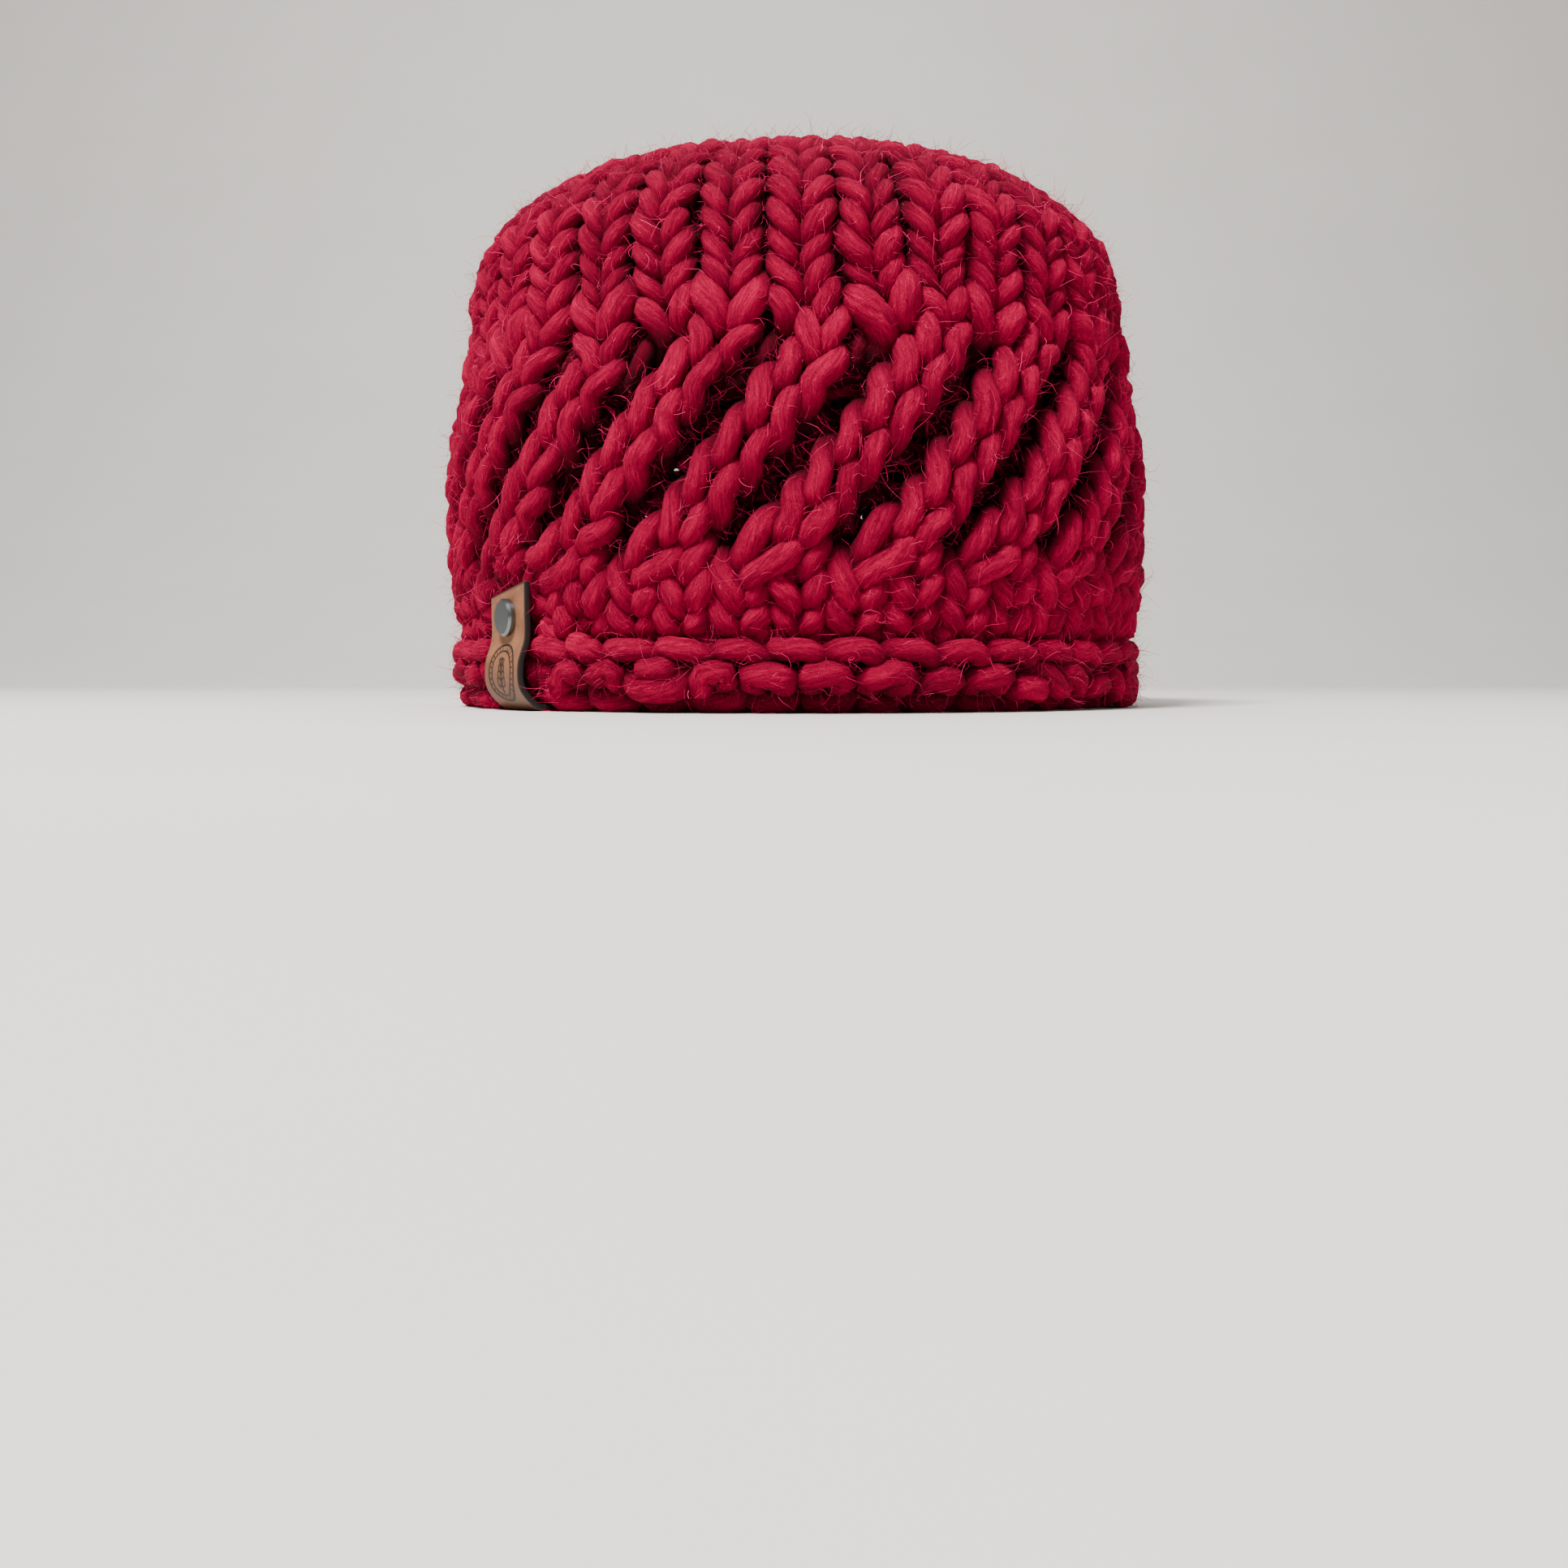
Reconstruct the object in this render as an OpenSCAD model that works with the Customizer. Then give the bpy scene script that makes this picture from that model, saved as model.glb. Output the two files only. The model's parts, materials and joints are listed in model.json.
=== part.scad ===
// Chunky knitted beanie with a rolled brim and a folded leather tag held by a screw post.
// It stands on its brim. The origin is the centre of the brim's lowest plane, +Z is up,
// and -Y is the front. Millimetres.

/* [Head opening] */
// Radius of the head opening and of the straight inner wall
opening_r = 83; // [82:0.5:84]
// Thickness of the fabric at the top of the crown
crown_wall = 11; // [9:0.5:13]

/* [Body] */
// Largest outside radius, at the belly of the lace band
belly_r = 99; // [97:0.5:101]
// Outside radius of the upper band, where the stitches draw in
neck_r = 92.4; // [91:0.2:94]
// Height at which the crown starts to curve in
spring_z = 108; // [106:0.5:110]
// Height of the crown above that
crown_h = 45; // [43:0.5:48]
// Squareness of the crown's curve: 2 is an ellipse
crown_power = 3; // [2.4:0.1:3.4]

/* [Rolled brim] */
// Radius of the rolled edge's cross-section
roll_r = 8.4; // [8.2:0.1:8.6]
// Distance of the roll's centre from the hat's axis
roll_centre_r = 91; // [90.6:0.1:91.4]
// Height of the roll's centre: less than its radius, because the wool settles flat
roll_centre_z = 7.9; // [7.7:0.1:8.0]
// Radius of the cast-on edge's cord
cast_on_r = 2.5; // [2.2:0.1:2.6]

/* [Yarn ends] */
// Radius of a woven-in yarn end
tail_r = 2; // [1.6:0.1:2.1]
// Angle round the brim that the cast-on end runs
cast_on_tail_angle = 42; // [20:1:60]
// Length of the closing end where it lies under the crown
closing_tail_length = 46; // [30:1:60]

/* [Leather tag] */
// Where the tag sits round the brim, in degrees from +X
tag_azimuth = 223; // [200:1:250]
// How far the tag is turned away from facing straight out, in degrees
tag_turn = -8; // [-9:1:9]
// Width of the strap
tag_w = 20; // [15:0.5:21]
// Thickness of the leather
tag_t = 1.7; // [1.4:0.1:1.8]
// Height of the strap's cut ends at the middle
tag_top_z = 30.4; // [29:0.2:31]
// Slope of the cut ends in degrees
tag_end_slope = 10; // [0:1:12]
// Clear gap between the two leaves where the fabric is pinched
tag_grip = 8.3; // [8:0.1:8.6]

/* [Screw post] */
// Height of the fastener's axis
post_z = 23.4; // [22:0.1:24]
// Radius of the two flat heads
head_r = 4.75; // [4.2:0.05:4.9]
// Thickness of the post's bevelled cap
cap_h = 1.7; // [1.4:0.1:2]
// Radius of the post's barrel
barrel_r = 2.5; // [2.3:0.1:2.6]
// Radius of the screw's shank
shank_r = 1.7; // [1.5:0.1:1.8]
// Length of thread in the post
thread_length = 6.5; // [5:0.5:7]

/* [Hidden] */
$fn = 96;

wool = "#a8102f";
wool_dark = "#7d0a22";
tan_leather = "#a5754c";
gunmetal = "#6a6a6c";

// Heights and radii at which one section of the knitting gives way to the next
roll_top_z = roll_centre_z + roll_r;
lace_z = 34;
decrease_z = 85;
upper_z = 97;
shoulder_z = 124;
shoulder_r = 62;
gather_r = 24;
gather_hole_r = 2.4;
body_top_z = spring_z + crown_h;
inner_crown_h = crown_h - crown_wall;
crown_steps = 20;

// Outside of the wall below the crown, from the crease above the roll to the spring line
wall_points = [[roll_centre_r + 3.6, roll_top_z - 1], [belly_r - 1.6, 26], [belly_r - 0.2, 40], [belly_r, 62],
               [belly_r - 2.4, 80], [neck_r + 0.8, 94], [neck_r, spring_z]];

// Leather strap: the middle line of its U, from the outer cut end round the roll to the inner one
leaf_out_r = 98.05;
leaf_in_r = leaf_out_r - tag_grip - tag_t;
strap_end_z = tag_top_z + 4;
strap_points = [[leaf_out_r, strap_end_z], [leaf_out_r, 25], [leaf_out_r + 0.1, 18], [leaf_out_r + 1.9, 12],
                [leaf_out_r + 1.6, 6], [leaf_out_r - 2.2, 1.6], [leaf_out_r - 5.6, tag_t / 2],
                [leaf_out_r - 9, 1.9], [leaf_in_r - 1, 6.5], [leaf_in_r - 0.6, 12], [leaf_in_r, 18],
                [leaf_in_r, 25], [leaf_in_r, strap_end_z]];

tag_centre_r = (leaf_out_r + leaf_in_r) / 2;

// Fastener, laid out along the radius through the tag
leaf_face_r = leaf_out_r + tag_t / 2;
inner_face_r = leaf_in_r - tag_t / 2;
seat_gap = 0.06;
hole_gap = 0.12;
thread_gap = 0.05;
bevel = 0.6;
screw_head_h = 1.5;
slot_w = 0.9;
slot_depth = 0.7;
barrel_end_r = inner_face_r + 0.7;
thread_end_r = barrel_end_r + thread_length;

// Catmull-Rom curve through a list of points, with n steps to each stretch
function spline_at(a, b, c, d, t) =
    0.5 * (2 * b + (c - a) * t + (2 * a - 5 * b + 4 * c - d) * t * t + (3 * b - a - 3 * c + d) * t * t * t);
function smooth(p, n) =
    let (last = len(p) - 1)
    concat([for (i = [0 : last - 1], k = [0 : n - 1])
        spline_at(p[max(i - 1, 0)], p[i], p[i + 1], p[min(i + 2, last)], k / n)], [p[last]]);

// Line parallel to a path, d to its left
function unit(v) = v / norm(v);
function beside(p, d) =
    [for (i = [0 : len(p) - 1])
        let (t = unit(p[min(i + 1, len(p) - 1)] - p[max(i - 1, 0)])) p[i] + d * [-t[1], t[0]]];
function backwards(p) = [for (i = [len(p) - 1 : -1 : 0]) p[i]];

// Quarter of a superellipse from [r, spring_z] up to the axis
function dome(r, h) =
    [for (k = [1 : crown_steps])
        let (a = 90 * k / crown_steps)
        [k == crown_steps ? 0 : r * pow(cos(a), 2 / crown_power), spring_z + h * pow(sin(a), 2 / crown_power)]];

// Half cross-section of the whole fabric above the roll
module fabric_section() {
    outside = concat(smooth(wall_points, 3), dome(neck_r, crown_h));
    inside = concat([[opening_r, roll_top_z - 1], [opening_r, spring_z]], dome(opening_r, inner_crown_h));
    polygon(concat(outside, backwards(inside)));
}

module roll_section() {
    intersection() {
        union() {
            translate([roll_centre_r, roll_centre_z]) circle(roll_r);
            translate([opening_r, roll_centre_z - 2]) square([roll_centre_r - opening_r, roll_r + 2]);
        }
        translate([opening_r - 1, 0]) square([30, roll_top_z]);
    }
}

module cast_on_section(r = cast_on_r) {
    translate([roll_centre_r + 4.9, roll_top_z - 1]) circle(r);
}

module tail_section(r = tail_r) {
    translate([roll_centre_r + 0.4, roll_top_z + 0.9]) circle(r);
}

// Part of the fabric between two radii and two heights
module section_between(r0, r1, z0, z1) {
    intersection() {
        fabric_section();
        translate([r0, z0]) square([r1 - r0, z1 - z0]);
    }
}

// Lays out the tag along a radius, with x as the distance from the hat's axis, then turns it on the spot
module at_tag() {
    rotate([0, 0, tag_azimuth]) translate([tag_centre_r, 0, 0]) rotate([0, 0, tag_turn])
        translate([-tag_centre_r, 0, 0]) children();
}

// Upright slab across the tag, extruded from a shape drawn as radius and height
module across_tag(w) {
    rotate([90, 0, 0]) linear_extrude(height = w, center = true) children();
}

module strap_outline() {
    line = smooth(strap_points, 4);
    polygon(concat(beside(line, tag_t / 2), backwards(beside(line, -tag_t / 2))));
}

// Space between the leaves, which the pinched fabric fills
module strap_inside() {
    line = smooth(strap_points, 4);
    polygon(concat(beside(line, -tag_t / 2 - seat_gap), [[leaf_in_r + tag_t, strap_end_z]]));
}

// Everything near the tag that the fabric gives way to
module tag_room() {
    at_tag() {
        across_tag(tag_w + 0.6) difference() {
            translate([inner_face_r - 12, -2]) square([40, tag_top_z + 5]);
            strap_inside();
        }
        translate([inner_face_r - 4, 0, post_z]) rotate([0, 90, 0]) cylinder(r = barrel_r + 0.3, h = 20);
    }
}

// Cast-on end, laid in the crease behind the cast-on edge
module tail_ring(r) {
    rotate([0, 0, tag_azimuth + 14]) rotate_extrude(angle = cast_on_tail_angle) tail_section(r);
}

module rolled_brim() {
    color(wool) difference() {
        rotate_extrude() difference() {
            roll_section();
            cast_on_section();
        }
        tag_room();
        tail_ring(tail_r);
    }
}

module cast_on_edge() {
    color(wool_dark) difference() {
        rotate_extrude() cast_on_section();
        tag_room();
    }
}

module lower_band() {
    color(wool) difference() {
        rotate_extrude() difference() {
            section_between(opening_r, 120, roll_top_z, lace_z);
            cast_on_section();
        }
        tag_room();
        tail_ring(tail_r);
    }
}

module lace_band() {
    color(wool_dark) rotate_extrude() section_between(opening_r, 120, lace_z, decrease_z);
}

module decrease_round() {
    color(wool) rotate_extrude() section_between(opening_r, 120, decrease_z, upper_z);
}

module upper_band() {
    color(wool_dark) rotate_extrude() section_between(opening_r - 10, 120, upper_z, shoulder_z);
}

module crown_shoulder() {
    color(wool) rotate_extrude() section_between(shoulder_r, 120, shoulder_z, body_top_z + 1);
}

module crown_top() {
    color(wool_dark) rotate_extrude() section_between(gather_r, shoulder_r, shoulder_z, body_top_z + 1);
}

module crown_gather() {
    color(wool) rotate_extrude() section_between(gather_hole_r, gather_r, shoulder_z, body_top_z + 1);
}

module cast_on_tail() {
    color(wool) tail_ring(tail_r);
}

// Closing end: down through the gathered stitches, then along the underside of the crown
module closing_tail() {
    bend_z = body_top_z - crown_wall - 2 * tail_r - 1;
    color(wool) rotate([0, 0, 35]) union() {
        translate([0, 0, bend_z]) cylinder(r = tail_r, h = body_top_z - 2 - bend_z);
        translate([0, 0, bend_z]) sphere(tail_r);
        translate([0, 0, bend_z]) rotate([0, 90, 0]) cylinder(r = tail_r, h = closing_tail_length);
    }
}

module tag_strap() {
    color(tan_leather) at_tag() difference() {
        across_tag(tag_w) strap_outline();
        translate([0, 0, tag_top_z]) rotate([tag_end_slope, 0, 0]) translate([60, -20, 0]) cube([60, 40, 20]);
        translate([60, 0, post_z]) rotate([0, 90, 0]) cylinder(r = barrel_r + hole_gap, h = 60);
    }
}

// Outer half of the fastener: a flat cap with a bevelled rim on a tapped barrel
module tag_post() {
    color(gunmetal) at_tag() translate([0, 0, post_z]) rotate([0, 90, 0]) difference() {
        union() {
            translate([0, 0, barrel_end_r]) cylinder(r = barrel_r, h = leaf_face_r + 0.5 - barrel_end_r);
            translate([0, 0, leaf_face_r + seat_gap]) cylinder(r = head_r, h = cap_h - bevel);
            translate([0, 0, leaf_face_r + seat_gap + cap_h - bevel])
                cylinder(r1 = head_r, r2 = head_r - bevel, h = bevel);
        }
        translate([0, 0, barrel_end_r - 1]) cylinder(r = shank_r + thread_gap, h = thread_length + 1.3);
    }
}

// Inner half of the fastener: a slotted screw
module tag_screw() {
    color(gunmetal) at_tag() translate([0, 0, post_z]) rotate([0, 90, 0]) difference() {
        union() {
            translate([0, 0, inner_face_r - seat_gap - screw_head_h]) cylinder(r = head_r, h = screw_head_h);
            translate([0, 0, inner_face_r - seat_gap - 0.5])
                cylinder(r = shank_r, h = thread_end_r - inner_face_r + seat_gap + 0.5);
        }
        translate([-slot_w / 2, -head_r - 1, inner_face_r - seat_gap - screw_head_h - 1])
            cube([slot_w, 2 * head_r + 2, slot_depth + 1]);
    }
}

rolled_brim();
cast_on_edge();
lower_band();
lace_band();
decrease_round();
upper_band();
crown_shoulder();
crown_top();
crown_gather();
cast_on_tail();
closing_tail();
tag_strap();
tag_post();
tag_screw();
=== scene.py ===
"""Looks of a chunky knitted beanie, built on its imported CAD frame.

The hat is knitted loop by loop from one thick, softly spun yarn: a cast-on edge, a brim that rolls
outward, plain rounds, a bias eyelet lace (yarn over, knit two together), a decrease round, an upper
band of slim ribs and a gathered crown. The loops are then relaxed, so that the yarn presses against
itself as wool does. The folded leather tag and its screw post sit over the brim.
Lengths in the settings are metres; the knitting works in millimetres.
"""

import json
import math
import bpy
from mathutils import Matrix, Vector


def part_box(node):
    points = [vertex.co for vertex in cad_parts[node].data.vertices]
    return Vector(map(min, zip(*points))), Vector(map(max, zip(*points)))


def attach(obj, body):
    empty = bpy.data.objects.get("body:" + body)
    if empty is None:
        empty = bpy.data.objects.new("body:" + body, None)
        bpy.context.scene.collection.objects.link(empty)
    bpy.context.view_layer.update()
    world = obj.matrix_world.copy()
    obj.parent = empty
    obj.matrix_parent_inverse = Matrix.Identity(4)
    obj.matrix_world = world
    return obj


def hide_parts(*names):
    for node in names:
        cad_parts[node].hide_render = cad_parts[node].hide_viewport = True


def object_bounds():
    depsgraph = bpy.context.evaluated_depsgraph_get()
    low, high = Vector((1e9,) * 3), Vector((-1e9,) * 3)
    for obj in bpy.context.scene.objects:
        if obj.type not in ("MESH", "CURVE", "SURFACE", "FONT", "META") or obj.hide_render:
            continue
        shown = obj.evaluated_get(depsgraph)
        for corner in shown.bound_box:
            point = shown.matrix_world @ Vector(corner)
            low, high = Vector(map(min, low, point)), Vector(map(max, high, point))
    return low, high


bl_info = {
    "name": "Chunky Knitted Beanie",
    "version": (1, 0, 0),
    "blender": (4, 5, 0),
    "location": "3D View > Sidebar > Beanie",
    "description": "Knits a rolled-brim beanie stitch by stitch and fits its leather tag and screw post",
    "category": "Object",
}

import bpy
import numpy as np
from bpy.props import FloatProperty, IntProperty, PointerProperty, StringProperty
from mathutils import Vector

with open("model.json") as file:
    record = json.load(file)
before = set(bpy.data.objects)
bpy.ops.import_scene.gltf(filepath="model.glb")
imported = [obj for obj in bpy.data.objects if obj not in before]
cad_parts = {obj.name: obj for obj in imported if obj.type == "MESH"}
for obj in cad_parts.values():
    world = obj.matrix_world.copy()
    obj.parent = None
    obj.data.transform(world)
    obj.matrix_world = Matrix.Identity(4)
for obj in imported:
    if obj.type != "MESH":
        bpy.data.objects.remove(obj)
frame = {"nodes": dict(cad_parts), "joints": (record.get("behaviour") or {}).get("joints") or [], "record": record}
cad_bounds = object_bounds()

MM = 0.001
TAU = 2 * math.pi
YARN_STEP = 2.2  # mm between points along the yarn
YARN_SIDES = 12  # points round the yarn
FIBRE_TWIST = 0.09  # radians that the fibres turn round the yarn in each mm
SEED = 44
CROWN_COUNTS = (26, 17, 9)  # stitches of the crown's rounds, two rounds at each count
ROUNDS_PER_PIECE = 2
LOOP_DEPTH = 0.88  # how far the loops weave in and out of the fabric's middle, in radii of the yarn
SQUASH = 0.84  # share of the distance at which round strands would touch, at which soft ones do
DRAWN_UP = 0.94  # share of its length that the relaxed yarn keeps
GRID_BELOW = 10  # mm under the floor at which the grid of offsets begins
WALL_FROM = 24  # mm of height under which the fabric is the roll
FLOOR_GAP = 0.2  # mm that the loose fibres stay above the floor
MOTIF_HEIGHT = 9.6  # mm from the floor to the middle of the tag's motif
HAT_MIDDLE = 0.08  # metres above the floor, where the lights are aimed


# ---- settings


class YarnSettings(bpy.types.PropertyGroup):
    diameter: FloatProperty(
        name="Diameter", description="Thickness of the yarn where nothing squeezes it",
        default=0.0064, subtype="DISTANCE")
    thick_thin: FloatProperty(
        name="Thick and thin", description="How much the yarn's thickness wanders, as a share of it",
        default=0.14, subtype="FACTOR")
    light: StringProperty(name="Light fibres", description="sRGB colour of pale fibres", default="CC0045")
    # the darker dye tone; a tenth of it is also the painted shade where the yarn lies deep between the strands
    dark: StringProperty(name="Dark fibres", description="sRGB colour of deep fibres", default="800029")
    loose: StringProperty(name="Loose fibres", description="sRGB colour of stray fibres", default="DC3468")
    fuzz_per_metre: IntProperty(
        name="Fuzz", description="Loose fibres that stand out of each metre of yarn", default=2700)


class KnitSettings(bpy.types.PropertyGroup):
    stitches: IntProperty(name="Stitches", description="Stitches cast on", default=44)
    columns: IntProperty(name="Columns", description="Stitches of the upper band", default=34)
    brim_rounds: IntProperty(name="Brim rounds", description="Rounds of the roll and lower band", default=6)
    lace_rounds: IntProperty(name="Lace rounds", description="Rounds of the eyelet lace", default=6)
    upper_rounds: IntProperty(name="Upper rounds", description="Rounds of the upper band", default=6)
    relax_steps: IntProperty(name="Relax steps", description="Steps in which the loops settle", default=60)


class TagSettings(bpy.types.PropertyGroup):
    leather: StringProperty(name="Leather", description="sRGB colour of the tag's leather", default="8A5A3C")
    burnt: StringProperty(
        name="Burnt", description="sRGB colour of the cut edges and the engraving", default="120B08")
    metal: StringProperty(name="Metal", description="sRGB colour of the screw post", default="74787A")
    motif_size: FloatProperty(
        name="Motif size", description="Width of the engraved rings", default=0.015, subtype="DISTANCE")
    engraving: FloatProperty(
        name="Engraving depth", description="How deep the motif is cut", default=0.00018, subtype="DISTANCE")


class StageSettings(bpy.types.PropertyGroup):
    lens: FloatProperty(
        name="Lens", description="Focal length on a 36 mm wide sensor", default=34.47, unit="CAMERA")
    distance: FloatProperty(
        name="Distance", description="From the camera to the hat's axis", default=0.4466, unit="LENGTH")
    eye_height: FloatProperty(
        name="Eye height", description="Height of the camera above the floor", default=0.010, unit="LENGTH")
    eye_side: FloatProperty(
        name="Eye side", description="How far the camera stands to the side of the axis", default=-0.0033,
        unit="LENGTH")
    pitch: FloatProperty(
        name="Pitch", description="How far the camera looks up from level", default=math.radians(-4.3),
        subtype="ANGLE", unit="ROTATION")
    floor: StringProperty(name="Floor", description="sRGB colour of the floor", default="D8D3CC")


# ---- section of the fabric


def box_mm(node):
    """Lowest and highest corners of a CAD node, in millimetres."""
    low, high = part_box(node)
    return np.array(low) / MM, np.array(high) / MM


def spline(points, per_span):
    """Catmull-Rom curve through points, with per_span samples to each span."""
    p = np.asarray(points, float)
    padded = np.vstack([2 * p[0] - p[1], p, 2 * p[-1] - p[-2]])
    t = (np.arange(per_span) / per_span)[None, :, None]
    a, b, c, d = (padded[i : i + len(p) - 1][:, None, :] for i in range(4))
    curve = 0.5 * (2 * b + (c - a) * t + (2 * a - 5 * b + 4 * c - d) * t**2 + (3 * b - a - 3 * c + d) * t**3)
    return np.vstack([curve.reshape(-1, p.shape[1]), p[-1:]])


def unit(vectors):
    return vectors / np.maximum(np.linalg.norm(vectors, axis=-1, keepdims=True), 1e-9)


def arc_lengths(points):
    return np.concatenate([[0.0], np.cumsum(np.linalg.norm(np.diff(points, axis=0), axis=1))])


def sample(where, along, rows):
    return np.stack([np.interp(where, along, column) for column in rows.T], axis=1)


def resample(points, step):
    """The same curve with points about one step apart."""
    along = arc_lengths(points)
    count = max(int(round(along[-1] / step)), 2)
    return sample(np.linspace(0, along[-1], count + 1), along, points)


class Meridian:
    """The fabric's middle surface in section. A length along it, from the cast-on edge at the outside of
    the roll, under the roll and up to the crown's centre, gives the radius, the height and the normal."""

    def __init__(self, half_thickness):
        h = half_thickness
        roll = box_mm("rolled_brim")[1][0] - h
        fold = roll - 7.2  # inner side of the roll
        belly = box_mm("lace_band")[1][0] - h
        neck = box_mm("upper_band")[1][0] - h - 0.6
        spring = box_mm("upper_band")[0][2] + 11  # height where the crown begins to curve in
        top = cad_bounds[1][2] / MM - h - 4.2
        # radius and height, down the roll's outer side, under it, up the fold and up the wall
        section = [
            (roll - 1.0, 14.0), (roll, 10.2), (roll - 1.6, h + 1.0), ((roll + fold) / 2, h - 0.2),
            (fold + 0.8, h + 2.0), (fold, 12.0), (fold + 1.2, 18.0), (belly - 2.4, 26.0), (belly - 0.6, 38.0),
            (belly, 56.0), (belly - 1.2, 72.0), (belly - 3.6, 83.0), (neck + 0.8, 93.0), (neck, spring),
        ]
        power = 2 / 2.7  # of a superellipse, which is flatter on top than a dome
        steps = 14
        for k in range(1, steps + 1):
            a = math.pi / 2 * k / steps
            r, z = max(math.cos(a), 0) ** power, math.sin(a) ** power
            section.append((neck * r, spring + (top - spring) * z))
        curve = resample(spline(section, 8), 0.5)
        self.length = arc_lengths(curve)
        self.r, self.z = curve[:, 0], curve[:, 1]
        slope = unit(np.gradient(curve, self.length, axis=0))
        self.out_r, self.out_z = slope[:, 1], -slope[:, 0]
        # the wall begins half way up the fold, after the roll's own outer side at that height
        self.wall_from = int(np.argmin(np.abs(self.z - 12) + 100 * (self.length < 20)))

    def at(self, s):
        return tuple(np.interp(s, self.length, v) for v in (self.r, self.z, self.out_r, self.out_z))

    def length_at_height(self, z):
        """Length along the section where the wall or the crown's shoulder reaches a height."""
        return float(np.interp(z, self.z[self.wall_from :], self.length[self.wall_from :]))

    def offsets(self):
        """Signed distance off the wall and crown, and the outward direction there, for each millimetre of
        radius and height."""
        part = slice(self.wall_from, None, 3)
        r, z = self.r[part], self.z[part]
        grid_r, grid_z = np.meshgrid(np.arange(130.0), np.arange(200.0) - GRID_BELOW, indexing="ij")
        near = np.argmin((grid_r[..., None] - r) ** 2 + (grid_z[..., None] - z) ** 2, axis=2)
        out_r, out_z = self.out_r[part][near], self.out_z[part][near]
        off = (grid_r - r[near]) * out_r + (grid_z - z[near]) * out_z
        return off, out_r, out_z

    def openness(self, points, reach):
        """How far points stand off the fabric's middle surface, from 0 there to 1 at a reach from it."""
        r, z = np.hypot(points[:, 0], points[:, 1]), points[:, 2]
        gap = np.full(len(points), reach**2)
        for a, b in zip(self.r[::3], self.z[::3]):
            gap = np.minimum(gap, (r - a) ** 2 + (z - b) ** 2)
        return np.sqrt(gap) / reach

    def place(self, theta, s, out):
        """Points from an angle round the hat, a length along the section and a distance off it."""
        r, z, out_r, out_z = self.at(s)
        radius = r + out * out_r
        return np.stack([radius * np.cos(theta), radius * np.sin(theta), z + out * out_z], axis=-1)


# ---- stitches


class Round:
    """One round of the knitting: the angle of each stitch's base, what it is drawn through, and its yarn."""

    def __init__(self, base, parents, thick=None, over=None, foot=0.13, shoulder=0.33, reach=1.0, rise=1.0):
        self.foot, self.shoulder = foot, shoulder  # half widths of a stitch, as shares of its width
        self.reach, self.rise = reach, rise  # how tall and how proud the stitches stand
        self.base = np.asarray(base, float)
        self.parents = parents
        self.count = len(self.base)
        self.over = np.zeros(self.count, bool) if over is None else over
        self.thick = np.ones(self.count) if thick is None else thick
        self.head = self.base.copy()
        self.stack = np.zeros(self.count)


def plain_parents(count):
    return [[i] for i in range(count)]


def shared_parents(before, after):
    """Parents for a round of fewer stitches: some are knitted through two, evenly spread."""
    extra = before - after
    parents, i = [], 0
    for k in range(after):
        double = (k + 1) * extra // after > k * extra // after
        parents.append([i, i + 1] if double else [i])
        i += 2 if double else 1
    return parents


def mean_base(previous, parents):
    return np.array([np.mean([previous[i] for i in group]) for group in parents])


def plan_rounds(knit, rng):
    """Every round from the cast-on edge to the crown."""
    n = knit.stitches
    even = np.arange(n) * TAU / n

    def jitter(count, size):
        return rng.normal(0, size, count) * TAU / count

    rounds = [Round(even + jitter(n, 0.03), plain_parents(n)) for _ in range(knit.brim_rounds)]

    # Bias lace: yarn over, knit two together, all moving half a stitch to the right in each round
    ribs = n // 2
    w = TAU / n
    over = np.arange(n) % 2 == 1
    for k in range(knit.lace_rounds):
        knits = (np.arange(ribs) * 2 + 0.5) * w + 0.5 * w * (k + np.arange(ribs) / ribs)
        base = np.empty(n)
        base[0::2] = knits + jitter(ribs, 0.02)
        base[1::2] = knits + w
        parents = [[i, i + 1] if i % 2 == 0 else [] for i in range(n)]
        thick = np.where(over, 0.62, 0.95)
        rounds.append(Round(base, parents, thick, over, foot=0.10, shoulder=0.30, reach=1.1, rise=1.6))

    # Decrease round: big stitches alternate with small ones, and some of the big ones take two loops
    m = knit.columns
    loops = np.empty(n)
    loops[0::2] = rounds[-1].base[0::2] + 0.35 * w
    loops[1::2] = rounds[-1].base[0::2] + 1.35 * w
    parents = shared_parents(n, m)
    first = mean_base(loops, parents)
    even = first.mean() + (np.arange(m) - (m - 1) / 2) * TAU / m
    big = np.where(np.arange(m) % 2 == 0, 1.24, 0.96)
    rounds.append(Round(first, parents, big, foot=0.12, shoulder=0.30, reach=1.15, rise=1.7))

    # Upper band: thinner, taller stitches, so that each column stands up as a slim rib
    for k in range(knit.upper_rounds):
        mix = min(1.0, 0.5 + 0.3 * k)
        base = first * (1 - mix) + even * mix
        thick = 0.80 + rng.normal(0, 0.06, m)
        base = base + jitter(m, 0.025)
        rounds.append(Round(base, plain_parents(m), thick, foot=0.12, shoulder=0.27, reach=1.55, rise=1.2))

    # Crown: two rounds at each count
    counts = [m, *CROWN_COUNTS]
    for before, after in zip([m, *counts], counts):
        last = rounds[-1].base
        parents = plain_parents(after) if after == before else shared_parents(before, after)
        base = mean_base(last, parents)
        even = base.mean() + (np.arange(after) - (after - 1) / 2) * TAU / after
        thick = np.array([1.12 if len(p) > 1 else 1.0 for p in parents])
        rounds.append(Round(0.5 * base + 0.5 * even, parents, thick))
        rounds.append(Round(even + jitter(after, 0.04), plain_parents(after)))
    return rounds


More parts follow.
